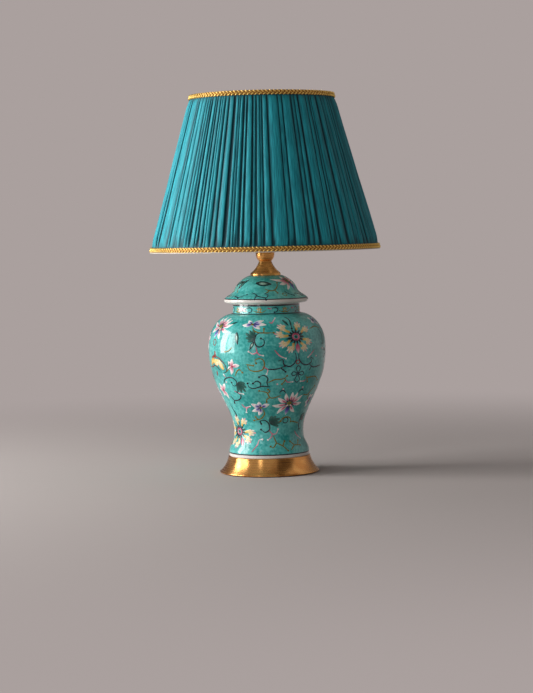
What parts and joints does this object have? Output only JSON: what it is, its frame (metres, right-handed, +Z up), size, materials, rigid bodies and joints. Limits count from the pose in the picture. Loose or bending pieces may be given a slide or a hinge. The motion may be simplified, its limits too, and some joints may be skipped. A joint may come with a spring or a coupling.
{
  "type": "ginger jar table lamp",
  "caption": "Table lamp with an enamelled porcelain jar and lid on a flared brass base, brass neck and a gathered fabric cone shade with braid trims.",
  "frame": {"origin": "middle of the underside of the felt pad, on the surface that the lamp stands on", "axes": "+Z up along the lamp's axis, front towards -Y, cord inlet at the back towards +Y"},
  "size_m": [0.401, 0.401, 0.6565],
  "materials": {
    "felt": "dense dark felt",
    "zinc_steel": "zinc plated steel",
    "satin_brass": "aged brass, spun and satin brushed",
    "dark_plastic": "moulded nylon",
    "clear_rubber": "soft translucent rubber",
    "enamelled_porcelain": "glossy turquoise glaze with painted flowers and scrolls, white foot and rim",
    "holder_plastic": "black thermoset moulding",
    "white_ceramic": "unglazed steatite",
    "contact_brass": "bright contact brass",
    "solder": "soft solder",
    "black_glass": "black vitrite glass",
    "nickel_plate": "nickel plated shell",
    "opal_glass": "opal glass",
    "white_wire": "white powder coated wire",
    "white_lining": "off white lining laminate",
    "teal_silk": "gathered teal fabric with a soft silky sheen",
    "gold_braid": "plaited gold braid"
  },
  "bodies": {
    "base": {"felt_pad": "felt", "base_plate": "zinc_steel", "base_skirt": "satin_brass", "base_washer": "zinc_steel", "base_nut": "zinc_steel", "cord_gland": "dark_plastic", "threaded_rod": "zinc_steel", "jar_seat_ring": "clear_rubber", "jar": "enamelled_porcelain", "jar_hole_bush": "clear_rubber", "lid_gasket": "clear_rubber", "lid": "enamelled_porcelain", "lid_hole_bush": "clear_rubber", "neck_bell": "satin_brass", "neck_ball": "satin_brass", "top_nut": "zinc_steel", "lampholder_cap": "holder_plastic", "cap_lock_screw": "zinc_steel", "lampholder_body": "holder_plastic", "lampholder_core": "white_ceramic", "terminal_screws": "contact_brass", "screw_shell": "contact_brass", "centre_contact": "contact_brass", "lower_shade_ring": "holder_plastic"},
    "clamp_ring": {"upper_shade_ring": "holder_plastic"},
    "bulb": {"bulb_tip": "solder", "bulb_insulator": "black_glass", "bulb_cap": "nickel_plate", "bulb_glass": "opal_glass"},
    "shade": {"bottom_wire_ring": "white_wire", "top_wire_ring": "white_wire", "shade_struts": "white_wire", "shade_spider": "white_wire", "shade_lining": "white_lining", "shade_cover": "teal_silk", "bottom_braid": "gold_braid", "top_braid": "gold_braid"}
  },
  "joints": [
    {"name": "shade_turn", "type": "hinge", "parent": "base", "child": "shade", "pos_m": [0, 0, 0.4235], "axis": [0, 0, 1], "continuous": true},
    {"name": "clamp_ring_turn", "type": "hinge", "parent": "base", "child": "clamp_ring", "pos_m": [0, 0, 0.4276], "axis": [0, 0, 1], "continuous": true},
    {"name": "bulb_lift", "type": "slide", "parent": "base", "child": "bulb", "axis": [0, 0, 1], "range_m": [0, 0.27]}
  ]
}
